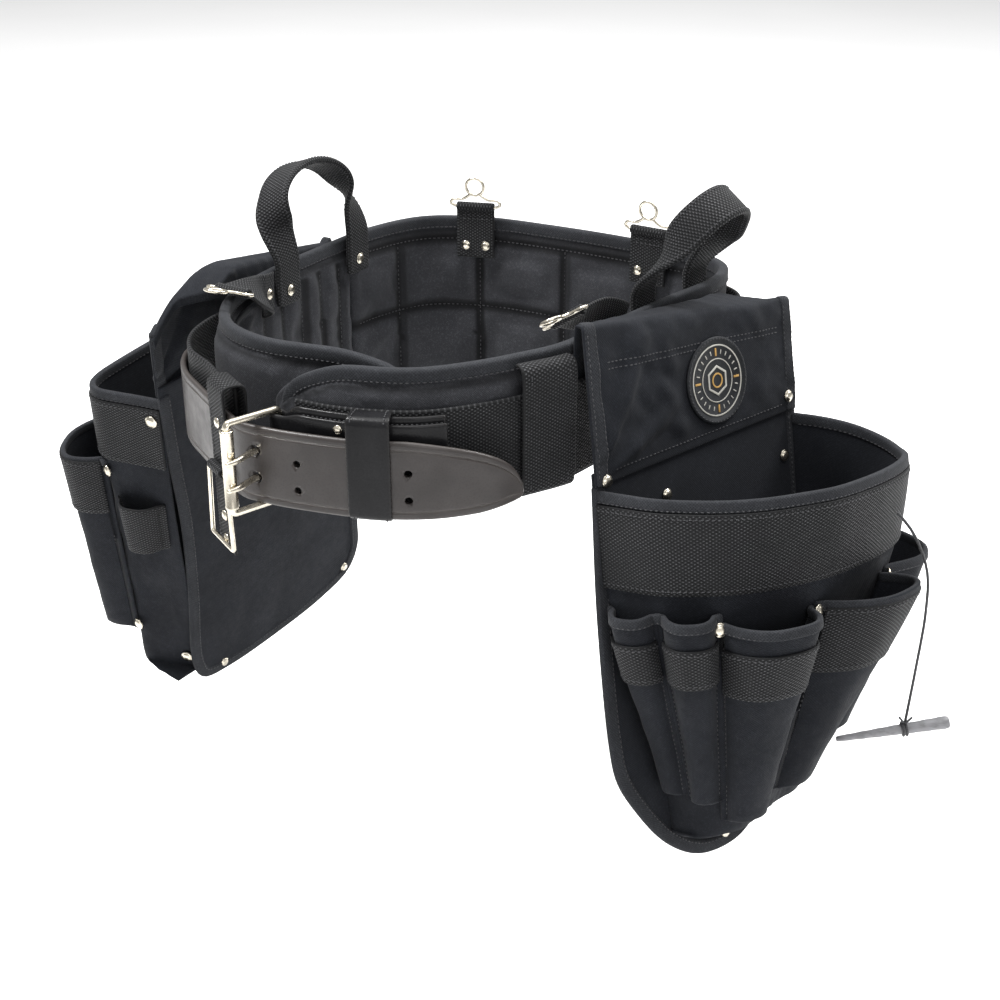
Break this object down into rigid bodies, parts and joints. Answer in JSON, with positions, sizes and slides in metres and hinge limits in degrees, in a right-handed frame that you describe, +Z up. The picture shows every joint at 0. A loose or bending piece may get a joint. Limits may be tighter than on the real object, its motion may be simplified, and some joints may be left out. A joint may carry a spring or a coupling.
{
  "type": "tool belt",
  "caption": "Padded work belt with riveted canvas pouches, webbing handles, suspender rings and a leather double-prong buckle.",
  "frame": {"origin": "middle of the waist ring, at mid height of the belt above the wearer's hips", "axes": "+Z up along the wearer, -Y towards the wearer's front where the buckle is, +X to the side of the larger pouch"},
  "size_m": [0.6734, 0.4013, 0.4528],
  "materials": {
    "canvas": "matt woven nylon",
    "webbing": "coarse basket-weave webbing",
    "brown_leather": "oiled grain, smoothed edges",
    "black_leather": "polished black",
    "nickel": "satin nickel plate",
    "patch_rubber": "moulded matt rubber",
    "cord": "thin braided cord",
    "grey_plastic": "moulded plastic"
  },
  "bodies": {
    "belt": {"wing_left": "canvas", "lumbar_panel": "canvas", "wing_right": "canvas", "belt_webbing": "webbing", "webbing_loop": "webbing", "leather_billet": "brown_leather", "buckle_strap": "black_leather", "buckle_strap_rivet": "nickel", "buckle_frame": "nickel", "suspender_back_left_tab": "webbing", "suspender_back_right_tab": "webbing", "suspender_front_left_tab": "webbing", "suspender_front_right_tab": "webbing", "suspender_front_left_rivet": "nickel", "tool_tab": "webbing"},
    "roller": {"buckle_roller": "nickel"},
    "prong_upper": {"buckle_prong_upper": "nickel"},
    "prong_lower": {"buckle_prong_lower": "nickel"},
    "keeper": {"leather_keeper": "black_leather"},
    "handle_left": {"handle_left": "webbing", "handle_left_rivet_front": "nickel", "handle_left_rivet_rear": "nickel"},
    "handle_right": {"handle_right": "webbing", "handle_right_rivet_front": "nickel", "handle_right_rivet_rear": "nickel"},
    "ring_back_left": {"suspender_back_left_ring": "nickel"},
    "ring_back_right": {"suspender_back_right_ring": "nickel"},
    "ring_front_left": {"suspender_front_left_ring": "nickel"},
    "ring_front_right": {"suspender_front_right_ring": "nickel"},
    "tool_ring": {"tool_ring": "nickel"},
    "right_sleeve": {"right_sleeve": "canvas", "sleeve_patch": "patch_rubber", "right_rivet_rim": "nickel"},
    "left_sleeve": {"left_sleeve": "canvas"},
    "right_pouch": {"right_back_panel": "canvas", "right_main_pocket": "canvas", "right_rim_band": "webbing", "right_tube_pocket_front": "canvas", "right_tube_pocket_front_band": "webbing", "right_tube_pocket_rear": "canvas", "right_tube_pocket_rear_band": "webbing", "right_middle_pocket": "canvas", "right_middle_pocket_band": "webbing", "right_side_pocket": "canvas", "right_side_pocket_band": "webbing", "right_rear_pocket": "canvas", "right_rivet_seam": "nickel", "right_rivet_back": "nickel", "right_rivet_foot_front": "nickel", "pull_cord": "cord", "pull_toggle": "grey_plastic"},
    "left_pouch": {"left_back_panel": "canvas", "left_main_pocket": "canvas", "left_rim_band": "webbing", "left_gusset_loop": "webbing", "left_outer_pocket": "canvas", "left_outer_pocket_band": "webbing", "left_rivet_seam": "nickel", "left_rivet_foot_front": "nickel", "left_rivet_foot_rear": "nickel"}
  },
  "joints": [
    {"name": "roller_spin", "type": "hinge", "parent": "belt", "child": "roller", "pos_m": [-0.05, -0.213, 0.012], "axis": [0, 0, 1], "continuous": true},
    {"name": "prong_upper_lift", "type": "hinge", "parent": "belt", "child": "prong_upper", "pos_m": [-0.0375, -0.1775, 0.019], "axis": [0, 0, 1], "range_deg": [0, 1.5]},
    {"name": "prong_lower_lift", "type": "hinge", "parent": "belt", "child": "prong_lower", "pos_m": [-0.0375, -0.1775, 0.001], "axis": [0, 0, 1], "range_deg": [0, 1.5]},
    {"name": "keeper_slide", "type": "hinge", "parent": "belt", "child": "keeper", "pos_m": [-0.021, -0.03911, 0.017], "axis": [0, 0, 1], "range_deg": [-4, 4]},
    {"name": "handle_left_flop", "type": "hinge", "parent": "belt", "child": "handle_left", "pos_m": [-0.14579, 0.02114, 0.072], "axis": [0.0004, -1, 0], "range_deg": [0, 40]},
    {"name": "handle_right_flop", "type": "hinge", "parent": "belt", "child": "handle_right", "pos_m": [0.11416, 0.06823, 0.072], "axis": [0.199, 0.98, 0], "range_deg": [0, 40]},
    {"name": "ring_back_left_swing", "type": "hinge", "parent": "belt", "child": "ring_back_left", "pos_m": [-0.0907, 0.1516, 0.083], "axis": [-0.9532, -0.3023, 0], "range_deg": [-95, 95]},
    {"name": "ring_back_right_swing", "type": "hinge", "parent": "belt", "child": "ring_back_right", "pos_m": [0.05458, 0.15719, 0.083], "axis": [-0.9989, 0.0471, 0], "range_deg": [-95, 95]},
    {"name": "ring_front_left_swing", "type": "hinge", "parent": "belt", "child": "ring_front_left", "pos_m": [-0.131, -0.1, 0.08], "axis": [-0.9974, 0.0682, -0.0223], "range_deg": [-30, 60]},
    {"name": "ring_front_right_swing", "type": "hinge", "parent": "belt", "child": "ring_front_right", "pos_m": [0.087, -0.032, 0.079], "axis": [0.8158, -0.1268, 0.5643], "range_deg": [-60, 30]},
    {"name": "tool_ring_swing", "type": "hinge", "parent": "belt", "child": "tool_ring", "pos_m": [-0.0817, -0.1875, -0.005], "axis": [-0.8744, 0.4853, 0], "range_deg": [0, 110]},
    {"name": "sleeve_right_slide", "type": "slide", "parent": "belt", "child": "right_sleeve", "axis": [0.1754, 0.9845, 0], "range_m": [-0.003, 0.006]},
    {"name": "sleeve_left_slide", "type": "slide", "parent": "belt", "child": "left_sleeve", "axis": [0, 1, 0], "range_m": [-0.008, 0.008]},
    {"name": "pouch_right_swing", "type": "hinge", "parent": "right_sleeve", "child": "right_pouch", "pos_m": [0.16308, 0.01778, -0.01372], "axis": [-0.3094, -0.9509, 0.0016], "range_deg": [-4, 25]},
    {"name": "pouch_left_swing", "type": "hinge", "parent": "left_sleeve", "child": "left_pouch", "pos_m": [-0.19618, 0.00087, -0.00093], "axis": [0.1644, 0.9743, 0.1541], "range_deg": [-4, 25]}
  ]
}
